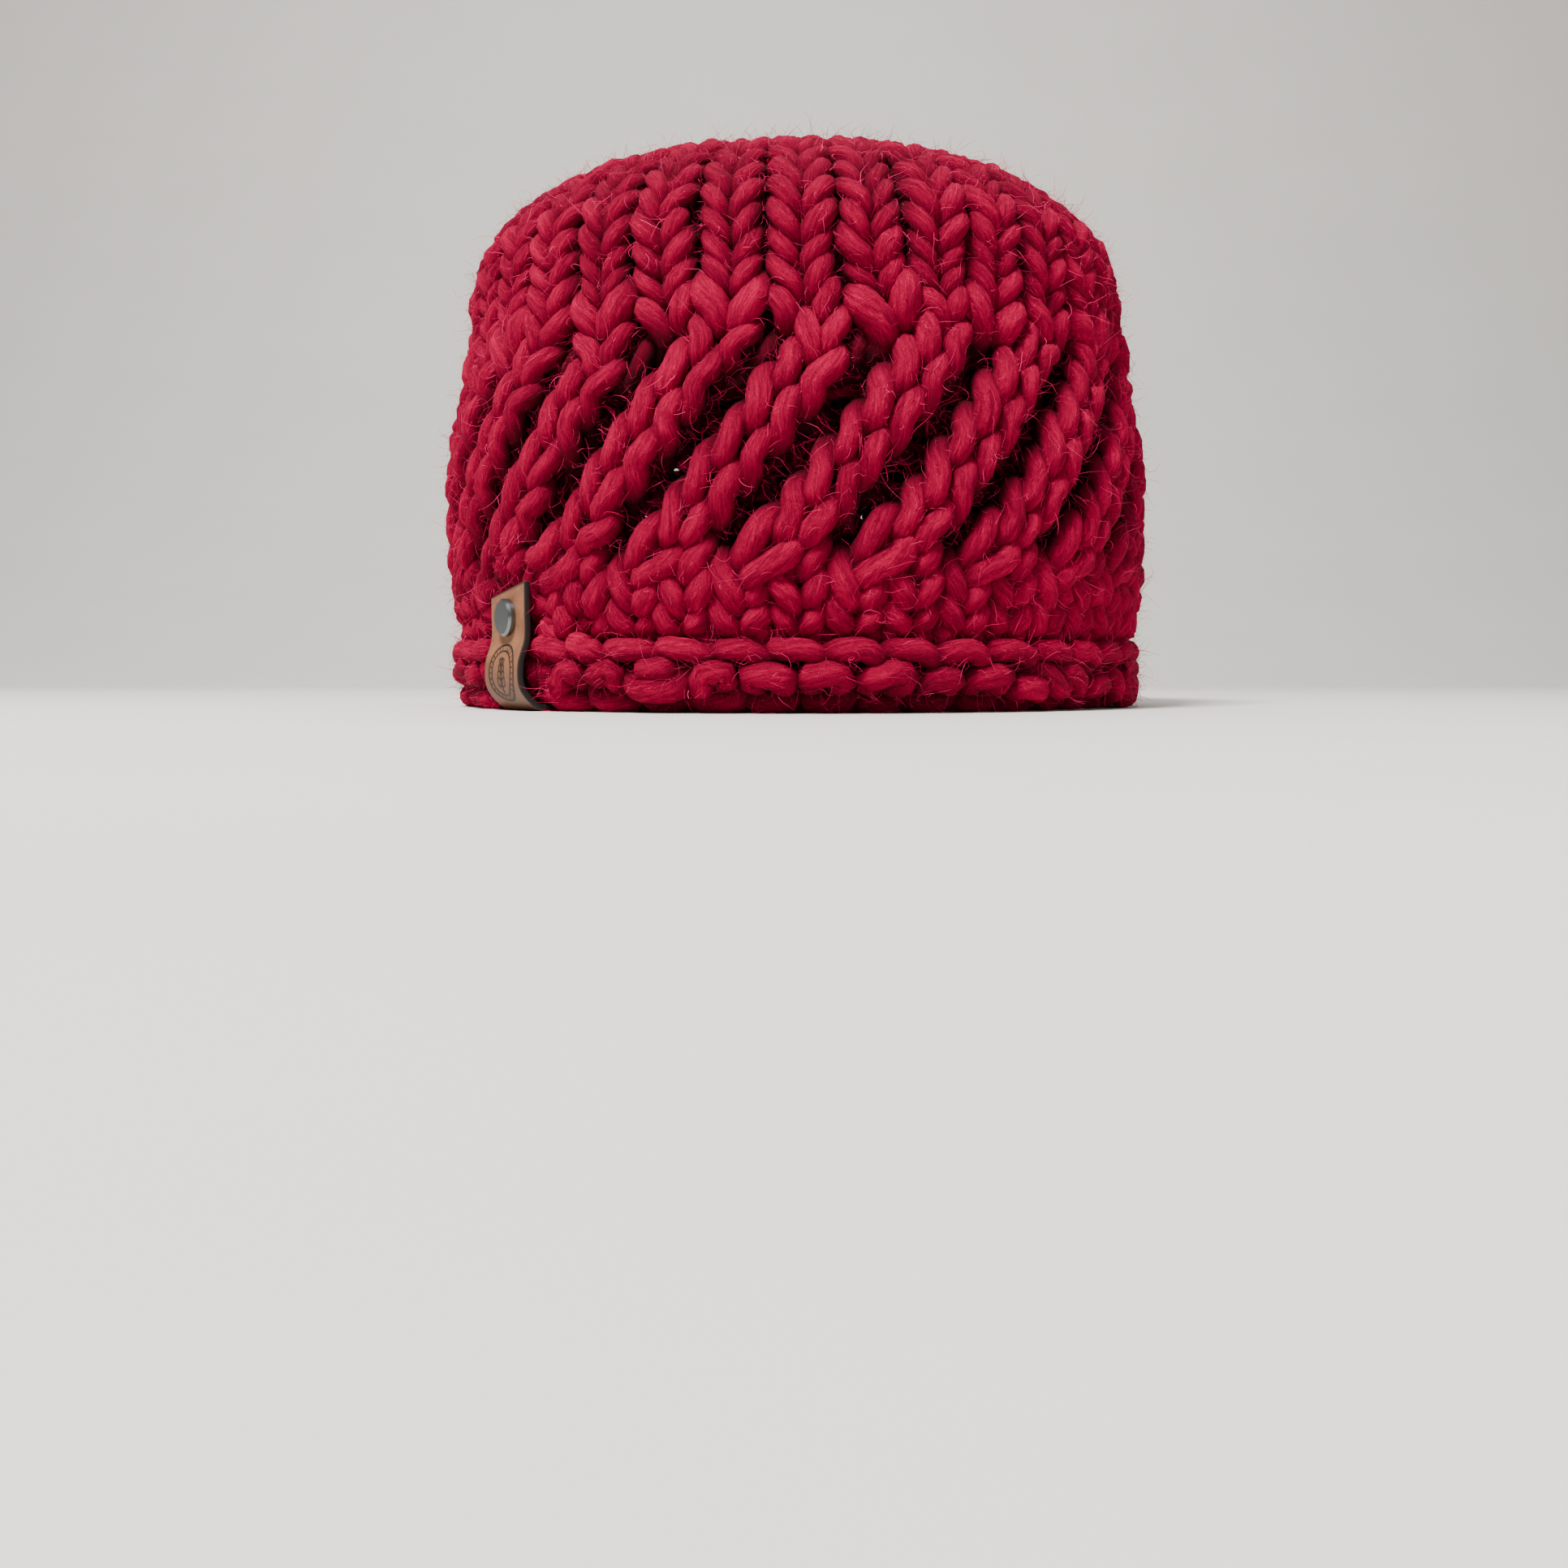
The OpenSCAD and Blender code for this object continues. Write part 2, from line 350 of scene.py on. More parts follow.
def settle_heads(rounds):
    """Draws each stitch's head to the stitch knitted through it. Where two share one, they stack."""
    for lower, upper in zip(rounds, rounds[1:]):
        width = TAU / lower.count
        for k, group in enumerate(upper.parents):
            for rank, i in enumerate(group):
                lower.head[i] = upper.base[k] + (rank - (len(group) - 1) / 2) * 0.14 * width
                lower.stack[i] = 0.0 if len(group) == 1 else (0.35, -0.55)[rank]


def round_heights(knit, meridian):
    """Length along the section of each round's middle, from the cast-on edge to the crown's centre."""
    lace_low, lace_high = box_mm("lace_band")
    s_lace = meridian.length_at_height(lace_low[2])
    s_drop = meridian.length_at_height(lace_high[2])
    s_upper = s_drop + 10.0
    shoulder = meridian.length_at_height(box_mm("crown_shoulder")[0][2] + 4)
    crown_rounds = 2 * (len(CROWN_COUNTS) + 1)
    gathered = 12  # mm round the centre that the drawn-up last loops leave
    brim_pitch = s_lace / (knit.brim_rounds + 0.2)
    heights = [brim_pitch * (k + 0.7) for k in range(knit.brim_rounds)]
    bands = (
        (s_lace, s_drop, knit.lace_rounds), (s_drop, s_upper, 1), (s_upper, shoulder, knit.upper_rounds),
        (shoulder, meridian.length[-1] - gathered, crown_rounds),
    )
    for low, high, count in bands:
        heights += [low + (high - low) / count * (k + 0.5) for k in range(count)]
    return np.array(heights)


def knit_controls(rnd, course, i, level, girth, depth):
    """Control points (angle, length, off, thickness) of one knit stitch: up its left leg from the foot at
    the back, round the head behind the next stitch and down the right leg. Sideways they are shares of the
    stitch's width, upward of the round's pitch and outward of the weave's depth."""
    w = TAU / rnd.count
    tb, th = rnd.base[i], rnd.head[i]
    v = course + i / rnd.count
    thick = rnd.thick[i]
    back = rnd.stack[i] * depth
    radius = girth(v)
    lean = math.atan2((th - tb) * radius, level(v + 0.5) - level(v - 0.5))

    def point(middle, side, up, out):
        across, down = side * w * math.cos(lean), side * w * radius * math.sin(lean)
        return (middle + across, level(v + up * rnd.reach) - down, out, thick)

    # one leg, from its foot at the back to its shoulder: middle, sideways, upward, outward
    leg = [
        (tb, 0.36, -0.86, -depth),
        (tb, rnd.foot, -0.62, -0.15 * depth),
        ((tb + th) / 2, (rnd.foot + rnd.shoulder) / 2 + 0.01, 0.0, depth * rnd.rise),
        (th, rnd.shoulder, 0.62, 0.1 * depth + 0.5 * back),
    ]
    left = [point(middle, -side, up, out) for middle, side, up, out in leg]
    right = [point(*part) for part in reversed(leg)]
    return left + [point(th, 0, 0.98, -depth + back)] + right


def over_controls(rnd, course, i, level, girth, depth):
    """Control points of one yarn over: up behind the stitch on its left, over, and down to the right."""
    w = TAU / rnd.count
    th = rnd.head[i]
    v = course + i / rnd.count
    back = rnd.stack[i] * depth
    following = rnd.base[i - 1] + 2 * w
    path = [
        (th - 0.28 * w, 0.45, -0.5 * depth),
        (th - 0.02 * w, 0.98, -1.3 * depth + back),
        (th + 0.26 * w, 0.62, -1.1 * depth),
        ((th + 0.26 * w + following - 0.36 * w) / 2, -0.15, -1.6 * depth),
    ]
    return [(theta, level(v + up), out, rnd.thick[i]) for theta, up, out in path]


def knit_yarn(rounds, heights, meridian, depth):
    """The whole yarn's control points, in the order it was knitted, and the round of each."""
    index = np.arange(len(heights))
    pitch = heights[1] - heights[0]
    knots = np.concatenate([[-1], index, [len(heights)]])
    values = np.concatenate([[heights[0] - pitch], heights, [2 * heights[-1] - heights[-2]]])

    def level(v):
        return float(np.interp(v, knots, values))

    def girth(v):
        return float(meridian.at(level(v))[0])

    controls, owner = [], []
    for course, rnd in enumerate(rounds):
        for i in range(rnd.count):
            make = over_controls if rnd.over[i] else knit_controls
            points = make(rnd, course, i, level, girth, depth)
            controls += points
            owner += [course] * len(points)
    return np.array(controls), np.array(owner)


def cast_on_controls(rounds, heights, depth):
    """The edge strand: a long slanted stretch outside each stitch and a small loop back behind it."""
    first = rounds[0]
    w = TAU / first.count
    s0 = heights[0] - 0.86 * (heights[1] - heights[0])
    controls = []
    for i in range(first.count):
        for t in (0.0, 0.25, 0.5, 0.75):
            a = TAU * t
            theta = first.base[i] + w * (t + 0.30 * math.sin(a))
            out = -1.2 * depth * math.cos(a) - 0.2 * depth
            controls.append((theta, s0 + 3.4 * math.sin(a), out, 0.92))
    return np.array(controls)


def even_strand(controls, owner, meridian):
    """Points at even steps along a strand's control points, with their thickness and round."""
    per_span = 6
    fine = spline(controls, per_span)
    owner = np.append(np.repeat(owner, per_span)[: len(fine) - 1], owner[-1])
    place = meridian.place(fine[:, 0], fine[:, 1], fine[:, 2])
    along = arc_lengths(place)
    where = np.linspace(0, along[-1], int(along[-1] / YARN_STEP) + 1)
    owner = owner[np.searchsorted(along, where, "right").clip(1, len(owner)) - 1]
    return sample(where, along, place), np.interp(where, along, fine[:, 3]), owner


# ---- relaxing


def near_pairs(points, reach):
    """Index pairs of points closer than reach, found on a grid."""
    cell = np.floor(points / reach).astype(np.int64)
    cell -= cell.min(axis=0) - 1
    size = cell.max(axis=0) + 2
    key = (cell[:, 0] * size[1] + cell[:, 1]) * size[2] + cell[:, 2]
    order = np.argsort(key, kind="stable")
    ordered = key[order]
    found = []
    around = (-1, 0, 1)
    half = [(x, y, z) for x in around for y in around for z in around if (x, y, z) >= (0, 0, 0)]
    for x, y, z in half:
        target = key + (x * size[1] + y) * size[2] + z
        low = np.searchsorted(ordered, target, "left")
        count = np.searchsorted(ordered, target, "right") - low
        a = np.repeat(np.arange(len(points)), count)
        start = np.repeat(low - (np.cumsum(count) - count), count)
        b = order[start + np.arange(len(a))]
        keep = a < b if (x, y, z) == (0, 0, 0) else np.ones(len(a), bool)
        found.append(np.stack([a[keep], b[keep]]))
    a, b = np.concatenate(found, axis=1)
    close = np.linalg.norm(points[a] - points[b], axis=1) < reach
    return a[close], b[close]


def relax(points, radius, chain, hold, steps):
    """Settles the yarn: it can't pass through itself, keeps its length, and bends as little as it can.
    chain marks the points that are joined to the next one, hold keeps points near their places."""
    # shares of the way to its aim that each step takes a point
    push_gain, push_ease, straighten, shorten, stay = 1.3, 0.55, 0.16, 0.42, 0.08
    own_bend = 4  # points along the yarn within which it doesn't touch itself
    p = points.copy()
    links = np.flatnonzero(chain)
    target = np.linalg.norm(p[links + 1] - p[links], axis=1) * DRAWN_UP
    inner = links[1:][chain[links[1:] - 1]]
    n = len(p)
    for step in range(steps):
        if step % 10 == 0:
            a, b = near_pairs(p, 2.3 * radius.max())
            apart = np.abs(a - b) > own_bend
            a, b = a[apart], b[apart]
            contact = SQUASH * (radius[a] + radius[b])
        d = p[a] - p[b]
        dist = np.maximum(np.linalg.norm(d, axis=1), 1e-6)
        hit = dist < contact
        push = d[hit] * (0.5 * (contact[hit] - dist[hit]) / dist[hit])[:, None]
        move = [np.bincount(a[hit], push[:, k], n) - np.bincount(b[hit], push[:, k], n) for k in range(3)]
        count = np.ones(n)
        count += np.bincount(a[hit], None, n) + np.bincount(b[hit], None, n)
        p += push_gain * np.stack(move, axis=1) / np.sqrt(count)[:, None] * push_ease
        p[inner] += straighten * ((p[inner - 1] + p[inner + 1]) / 2 - p[inner])
        for _ in range(2):
            d = p[links + 1] - p[links]
            dist = np.maximum(np.linalg.norm(d, axis=1), 1e-6)
            fix = d * (shorten * (dist - target) / dist)[:, None]
            p[links] += fix * 0.5
            p[links + 1] -= fix * 0.5
        p += stay * (points - p)
        hold(p)
    return p


class TagPlace:
    """Where the folded tag grips the brim, from the axis of its screw post."""

    def __init__(self):
        joint = next(j for j in frame["joints"] if j["name"] == "post_turn")
        self.centre = np.array(joint["pos_m"]) / MM
        self.out = unit(np.array(joint["axis"], float))
        self.side = np.array([-self.out[1], self.out[0], 0])
        self.half_width = 10.3  # of the strap, with a little room
        self.half_grip = 4.1  # half the gap between the leaves
        self.fold_top = 1.9  # height of the fold's inside above the floor
        self.top = box_mm("tag_strap")[1][2]

    def local(self, p):
        d = p - self.centre
        return d @ self.side, d @ self.out

    def squeeze(self, p):
        """Share of its thickness that the yarn keeps where the tag pinches it."""
        across, out = self.local(p)
        inside = (np.abs(across) < self.half_width) & (np.abs(out) < 12) & (p[:, 2] < self.top)
        return np.where(inside, 0.72, 1.0)

    def grip(self, p, radius):
        """Keeps the yarn between the leaves and above the fold, and lets it swell out beside the tag."""
        across, out = self.local(p)
        beside = np.maximum(np.abs(across) - self.half_width - radius, 0)
        above = np.maximum(p[:, 2] - self.top - radius, 0)
        free = np.maximum(beside, above)
        # how far from the middle of the grip the yarn may lie: more and more, away from the leaves
        room = np.maximum(self.half_grip - radius * 0.95, 0.8) + 2.5 * free
        held = (np.abs(out) < 14) & (free < 5)
        move = np.where(held, np.clip(out, -room, room) - out, 0)
        p += move[:, None] * self.out
        under = held & (beside <= 0)
        p[:, 2] = np.where(under, np.maximum(p[:, 2], self.fold_top + radius * 0.95), p[:, 2])


# ---- yarn meshes


def wander(along, step, rng):
    """A smooth random curve along a length, between -1 and 1, that turns about once every step."""
    knots = rng.uniform(-1, 1, int(along.max() / step) + 3)
    x = along / step
    i = x.astype(int)
    t = x - i
    t = t * t * (3 - 2 * t)
    return knots[i] * (1 - t) + knots[i + 1] * t


def frames_along(p):
    """Unit tangents and two normals that don't spin along the curve."""
    tangent = unit(np.gradient(p, axis=0))
    side = np.zeros_like(p)
    v = unit(np.cross(tangent[0], (0, 0, 1.0)))
    for i, t in enumerate(tangent):
        v = v - t * v.dot(t)
        v = v / math.sqrt(v.dot(v))
        side[i] = v
    return tangent, side, np.cross(tangent, side)


def add_object(name, data):
    obj = bpy.data.objects.new(name, data)
    bpy.context.scene.collection.objects.link(obj)
    return obj


class MeshParts:
    """Gathers surfaces into one mesh, with four numbers for the material stored on each vertex."""

    def __init__(self):
        self.points, self.faces, self.values, self.count = [], [], [], 0

    def add(self, points, faces, values):
        self.points.append(points)
        self.faces += [f + self.count for f in faces]
        self.values.append(values)
        self.count += len(points)

    def build(self, name, attribute):
        mesh = bpy.data.meshes.new(name)
        points = np.concatenate(self.points) * MM
        faces = sorted(self.faces, key=lambda f: -f.shape[1])
        loops = np.concatenate([f.ravel() for f in faces])
        sizes = np.concatenate([np.full(len(f), f.shape[1]) for f in faces])
        mesh.vertices.add(len(points))
        mesh.vertices.foreach_set("co", points.ravel())
        mesh.loops.add(len(loops))
        mesh.loops.foreach_set("vertex_index", loops)
        mesh.polygons.add(len(sizes))
        mesh.polygons.foreach_set("loop_start", np.cumsum(sizes) - sizes)
        mesh.polygons.foreach_set("use_smooth", np.ones(len(sizes), bool))
        mesh.update(calc_edges=True)
        layer = mesh.attributes.new(attribute, "FLOAT_COLOR", "POINT")
        layer.data.foreach_set("color", np.concatenate(self.values).ravel())
        mesh.validate()
        return add_object(name, mesh)


def add_tube(parts, p, radius, start_length, meridian, reach):
    """A round tube along p with domed ends. Its vertices hold the place round the yarn, the length along
    it and how open to the light they are."""
    sides = YARN_SIDES
    tangent, side, up = frames_along(p)
    along = start_length + arc_lengths(p)
    angle = np.arange(sides) * TAU / sides
    ring = np.cos(angle)[None, :, None] * side[:, None, :] + np.sin(angle)[None, :, None] * up[:, None, :]
    body = p[:, None, :] + ring * radius[:, None, None]
    turned = angle[None, :] + FIBRE_TWIST * along[:, None]
    fibre = np.stack([np.cos(turned), np.sin(turned), np.repeat(along[:, None] * 0.1, sides, 1)], axis=-1)
    ends = np.stack([p[0] - tangent[0] * radius[0] * 0.6, p[-1] + tangent[-1] * radius[-1] * 0.6])
    points = np.concatenate([body.reshape(-1, 3), ends])
    fibre = np.concatenate([fibre.reshape(-1, 3), [[0, 0, along[0] * 0.1], [0, 0, along[-1] * 0.1]]])
    fibre = np.column_stack([fibre, meridian.openness(points, reach)])
    n = len(p)
    i = np.arange(n - 1)[:, None] * sides
    j = np.arange(sides)[None, :]
    k = (j + 1) % sides
    quads = np.stack([i + j, i + k, i + sides + k, i + sides + j], axis=-1).reshape(-1, 4)
    j, k = j[0], k[0]
    first = np.stack([k, j, np.full(sides, n * sides)], axis=-1)
    last = np.stack([(n - 1) * sides + j, (n - 1) * sides + k, np.full(sides, n * sides + 1)], axis=-1)
    parts.add(points, [quads, np.concatenate([first, last])], fibre)


def add_fuzz(parts, p, radius, count, start_length, rng):
    """Fine loose fibres that leave the yarn's surface, curl and end: narrow ribbons, up to 9 mm long."""
    i = rng.integers(1, len(p) - 1, count)
    t = unit(np.gradient(p, axis=0))[i]
    out = rng.normal(size=(count, 3))
    out = unit(out - t * np.einsum("ij,ij->i", out, t)[:, None])
    root = p[i] + t * rng.uniform(-1.1, 1.1, (count, 1)) + out * radius[i][:, None] * 0.95
    length = np.minimum(rng.gamma(2.4, 1.0, count) * 1.5 + 1.4, 9.0)
    sign = rng.choice([-1.0, 1.0], count)[:, None]
    heading = sign * t * rng.uniform(0.3, 1.6, (count, 1)) + out * rng.uniform(0.12, 0.9, (count, 1))
    heading = unit(heading + rng.normal(0, 0.3, (count, 3)))
    curl = rng.normal(0, 1.0, (count, 3))
    steps = 5
    spine = [root]
    for _ in range(steps - 1):
        spine.append(spine[-1] + heading * (length / (steps - 1))[:, None])
        heading = heading + curl * 0.45
        curl = curl + rng.normal(0, 0.6, (count, 3))
        heading = unit(heading)
    spine = np.stack(spine, axis=1)
    spine[:, :, 2] = np.maximum(spine[:, :, 2], FLOOR_GAP)
    side = unit(np.cross(np.gradient(spine, axis=1), rng.normal(size=(count, 1, 3))))
    taper = np.array([1.0, 0.95, 0.85, 0.6, 0.15])[None, :, None]
    half = rng.uniform(0.03, 0.065, (count, 1, 1)) * taper  # mm: coarser than wool, so that it shows
    points = np.stack([spine - side * half, spine + side * half], axis=2).reshape(-1, 3)
    base = np.arange(count)[:, None] * steps * 2
    quads = [base + np.array([[2 * k, 2 * k + 1, 2 * k + 3, 2 * k + 2]]) for k in range(steps - 1)]
    along = (start_length + i * YARN_STEP) * 0.1
    shade = 1 + rng.uniform(0, 1, count)
    place = rng.uniform(-1, 1, (2, count))
    values = np.stack([place[0], place[1], along, shade], axis=1)
    parts.add(points, [np.concatenate(quads)], np.repeat(values, steps * 2, axis=0))


# ---- materials


def linear(code):
    """Linear colour from an sRGB hex code."""
    channels = [int(code[i : i + 2], 16) / 255 for i in (0, 2, 4)]
    return tuple(c / 12.92 if c <= 0.04045 else ((c + 0.055) / 1.055) ** 2.4 for c in channels) + (1.0,)


def toned(colour, share):
    """A linear colour made deeper or paler by a share."""
    return tuple(share * c for c in colour[:3]) + (1.0,)


class Finish:
    """A material with one principled shader, and the nodes that feed it."""

    def __init__(self, name):
        self.material = bpy.data.materials.new(name)
        self.material.use_nodes = True
        self.tree = self.material.node_tree
        self.tree.nodes.clear()
        self.shader = self.add("BsdfPrincipled")
        self.add("OutputMaterial", links={"Surface": self.shader})

    def add(self, kind, values=None, links=None, **settings):
        """Adds a node of a kind, named without its ShaderNode, and sets it up."""
        node = self.tree.nodes.new("ShaderNode" + kind)
        for key, value in settings.items():
            setattr(node, key, value)
        self.feed(node, values or {}, links or {})
        return node

    def feed(self, node, values, links):
        """Sets a node's input values, and links its inputs to other nodes' outputs: the first, if only the
        node is given."""
        for key, value in values.items():
            node.inputs[key].default_value = value
        for key, source in links.items():
            output = source.outputs[0] if isinstance(source, bpy.types.Node) else source
            self.tree.links.new(output, node.inputs[key])


def wool_material(yarn):
    """Softly spun crimson merino: matt and hairy, with fine fibres that wander along the yarn. Between the strands
    its colour is darkened to a painted shade, and the loose fibres are paler."""
    wool = Finish("crimson_wool")
    fibre = wool.add("Attribute", attribute_name="fibre")
    place, openness = fibre.outputs["Vector"], fibre.outputs["Alpha"]
    # The attribute's unit is the yarn's radius, 3.2 mm, across the yarn and 10 mm along it
    noises = (
        # name, cells to a unit across and along, detail, roughness, distortion
        ("fine", (9.0, 9.0, 5.0), 4.0, 0.7, 1.6),  # fibres 0.35 mm apart, 2 mm long between bends
        ("swirl", (2.6, 2.6, 3.0), 2.5, 0.6, 1.2),  # its level lines are single fibres
        ("locks", (3.0, 3.0, 1.6), 3.0, 0.5, 0.8),  # locks of fibres 1 mm wide, 6 mm long
        ("dye", (0.45, 0.45, 0.45), 2.0, 0.5, 0.0),  # shades of the dye, 20 mm long
    )
    pattern = {}
    for name, cells, detail, roughness, distortion in noises:
        stretched = wool.add("VectorMath", {1: cells}, {0: place}, operation="MULTIPLY")
        values = {"Scale": 1.0, "Detail": detail, "Roughness": roughness, "Distortion": distortion}
        pattern[name] = wool.add("TexNoise", values, {"Vector": stretched})
    phase = wool.add("Math", {1: 75.0}, {0: pattern["swirl"]}, operation="MULTIPLY")
    pattern["lines"] = wool.add("Math", links={0: phase}, operation="SINE")
    sums = []
    shade_weights = {"locks": 0.40, "dye": 0.25, "lines": 0.045, "fine": 0.35}
    relief_weights = {"locks": 1.0, "fine": 0.6, "lines": 0.06}
    for weights in (shade_weights, relief_weights):
        links = {}
        for name, weight in weights.items():
            links[0] = pattern[name]
            links[2] = wool.add("Math", {1: weight, 2: 0.0}, links, operation="MULTIPLY_ADD")
        sums.append(links[2])
    shade, relief = sums

    dark = linear(yarn.dark)
    tone = wool.add("MapRange", {"From Min": 0.38, "From Max": 0.62}, {"Value": shade})
    dyed = wool.add("MixRGB", {"Color1": dark, "Color2": linear(yarn.light)}, {"Fac": tone})
    # painted shade: where the yarn lies deep between the strands, its colour is darkened toward a tenth of the
    # dark tone
    lit = wool.add("MapRange", {"From Min": 0.25, "From Max": 1.0}, {"Value": openness})
    shaded = wool.add("MixRGB", {"Color1": toned(dark, 0.10)}, {"Fac": lit, "Color2": dyed})
    loose = wool.add("MapRange", {"From Min": 1.0, "From Max": 2.0, "To Max": 0.8}, {"Value": openness})
    colour = wool.add("MixRGB", {"Color2": linear(yarn.loose)}, {"Fac": loose, "Color1": shaded})
    bump = wool.add("Bump", {"Strength": 1.0, "Distance": 0.0013}, {"Height": relief})
    values = {
        "Roughness": 0.9, "Specular IOR Level": 0.08, "Sheen Weight": 0.06, "Sheen Roughness": 0.45,
        "Sheen Tint": linear("E01048"),
    }
    wool.feed(wool.shader, values, {"Base Color": colour, "Normal": bump})
    return wool.material


# ---- the knitting


def sections(knit):
    """The CAD node and the first round of each section."""
    lace = knit.brim_rounds
    drop = lace + knit.lace_rounds
    crown = drop + 1 + knit.upper_rounds
    return (
        ("rolled_brim", 0), ("lower_band", lace // 2), ("lace_band", lace), ("decrease_round", drop),
        ("upper_band", drop + 1), ("crown_shoulder", crown), ("crown_top", crown + 2),
        ("crown_gather", crown + 6),
    )


def finish_piece(obj, material, node):
    obj.data.materials.append(material)
    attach(obj, "hat")
    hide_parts(node)


class Yarn:
    """The yarn's sizes, the fabric's middle surface, and the making of the yarn's stretches."""

    def __init__(self, settings, seed):
        self.settings = settings
        self.radius = settings.diameter / MM / 2
        self.depth = LOOP_DEPTH * self.radius
        self.meridian = Meridian(self.depth + self.radius * 0.9)
        self.rng = np.random.default_rng(seed)
        self.material = bpy.data.materials.get("crimson_wool") or wool_material(settings)

    def piece(self, name, points, radius, start_length, node):
        """A stretch of the yarn with its loose fibres, as one piece."""
        parts = MeshParts()
        add_tube(parts, points, radius, start_length, self.meridian, self.settings.diameter / MM)
        fibres = int(len(points) * YARN_STEP * MM * self.settings.fuzz_per_metre)
        add_fuzz(parts, points, radius, fibres, start_length, self.rng)
        finish_piece(parts.build(name, "fibre"), self.material, node)


class BEANIE_OT_knit(bpy.types.Operator):
    """Knit the hat's sections from one yarn"""

    bl_idname = "beanie.knit"
    bl_label = "Knit the hat"

    def execute(self, context):
        knit = context.scene.beanie_knit
        yarn = Yarn(context.scene.beanie_yarn, SEED)
        rounds = plan_rounds(knit, yarn.rng)
        settle_heads(rounds)
        heights = round_heights(knit, yarn.meridian)
        controls, owner = knit_yarn(rounds, heights, yarn.meridian, yarn.depth)
        edge = cast_on_controls(rounds, heights, yarn.depth)
        knitted = even_strand(controls, owner, yarn.meridian)
        cast_on = even_strand(edge, np.full(len(edge), -1), yarn.meridian)
        points, thick, owner = (np.concatenate(pair) for pair in zip(knitted, cast_on))
        chain = np.ones(len(points), bool)
        chain[[len(knitted[0]) - 1, -1]] = False
        along = np.arange(len(points)) * YARN_STEP
        uneven = 0.7 * wander(along, 34, yarn.rng) + 0.5 * wander(along, 11, yarn.rng)
        radius = yarn.radius * thick * (1 + yarn.settings.thick_thin * uneven)

        tag = TagPlace()
        radius *= tag.squeeze(points)
        points = relax(points, radius, chain, self.limits(yarn, radius, tag), knit.relax_steps)

        parts = sections(knit)
        stops = [start for _, start in parts[1:]] + [len(rounds)]
        for (node, start), stop in zip(parts, stops):
            for number, low in enumerate(range(start, stop, ROUNDS_PER_PIECE), 1):
                high = min(low + ROUNDS_PER_PIECE, stop)
                pick = np.flatnonzero((owner >= low) & (owner < high))
                # each piece runs on to the first point of the next, so that the yarn shows no gap
                if chain[pick[-1]]:
                    pick = np.append(pick, pick[-1] + 1)
                yarn.piece(f"{node}_yarn_{number}", points[pick], radius[pick], pick[0] * YARN_STEP, node)
        pick = np.flatnonzero(owner < 0)
        yarn.piece("cast_on_yarn", points[pick], radius[pick], 0, "cast_on_edge")
        return {"FINISHED"}

    def limits(self, yarn, radius, tag):
        """A function that keeps the yarn on the floor, near the fabric's surface and between the tag's
        leaves."""
        off, out_r, out_z = yarn.meridian.offsets()
        depth = yarn.depth
        roll_r = box_mm("rolled_brim")[1][0]
        opening = next(m for m in frame["record"]["mounts"] if m["name"] == "head_opening")
        opening_r = opening["dims"]["r_mm"]
        crown_z = box_mm("crown_shoulder")[0][2]

        def hold(p):
            p[:, 2] = np.maximum(p[:, 2], radius)
            r = np.hypot(p[:, 0], p[:, 1])
            i = np.clip(np.rint(r), 0, off.shape[0] - 1).astype(int)
            j = np.clip(np.rint(p[:, 2]) + GRID_BELOW, 0, off.shape[1] - 1).astype(int)
            wall = p[:, 2] > WALL_FROM
            proud = np.where(p[:, 2] > crown_z, 0.9 * depth, 1.45 * depth)
            far = np.where(wall, np.clip(off[i, j], -2.2 * depth, proud) - off[i, j], 0)
            in_roll = np.clip(r, opening_r + radius - 1.5, roll_r - radius)
            far_r = np.where(wall, far * out_r[i, j], in_roll - r)
            p[:, :2] += p[:, :2] / np.maximum(r, 1e-6)[:, None] * far_r[:, None]
            p[:, 2] += far * out_z[i, j]
            tag.grip(p, radius)

        return hold


class BEANIE_OT_ends(bpy.types.Operator):
    """Lay in the two ends of the yarn: one woven in behind the brim's edge, one through the gathered crown"""

    bl_idname = "beanie.ends"
    bl_label = "Yarn ends"

    def execute(self, context):
        yarn = Yarn(context.scene.beanie_yarn, SEED + 1)
        meridian = yarn.meridian

        # the first end lies in the crease behind the roll, wavering a little, from beside the tag
        low, high = box_mm("cast_on_tail")
        half = (high[2] - low[2]) / 2
        ring_r = -low[1] - half
        tag_centre = TagPlace().centre
        beside_tag = math.radians(14)
        k = np.arange(22)
        angles = math.atan2(tag_centre[1], tag_centre[0]) + beside_tag + math.radians(2) * k
        height = low[2] + half + 0.5 * np.sin(1.9 * k)
        place = np.stack([ring_r * np.cos(angles), ring_r * np.sin(angles), height], axis=1)
        p = resample(spline(place, 4), YARN_STEP)
        yarn.piece("cast_on_tail_yarn", p, np.full(len(p), 0.72 * yarn.radius), 0, "cast_on_tail")

        # the last end runs through the gathered loops, down the middle and along under the crown
        top = meridian.z[-1]
        loops = CROWN_COUNTS[-1]
        drawn_r = 7.0  # of the ring in which it passes over and under the loops
        place = []
        for k in range(2 * loops):
            a = math.pi * k / loops
            place.append((drawn_r * math.cos(a), drawn_r * math.sin(a), top + 1.4 * (-1) ** k))
        place += [(4.5, 1.5, top - 1.0), (1.0, 0.5, top - 4.5)]
        far = box_mm("closing_tail")[1]
        away = math.atan2(far[1], far[0])
        crown = meridian.wall_from
        for r in np.linspace(5, math.hypot(far[0], far[1]), 8):
            under = float(np.interp(-r, -meridian.r[crown:], meridian.z[crown:]))
            height = under - yarn.depth - 1.75 * yarn.radius
            place.append((r * math.cos(away), r * math.sin(away), height))
        p = resample(spline(place, 6), YARN_STEP)
        yarn.piece("closing_tail_yarn", p, np.full(len(p), 0.75 * yarn.radius), 100, "closing_tail")
        return {"FINISHED"}


# ---- tag


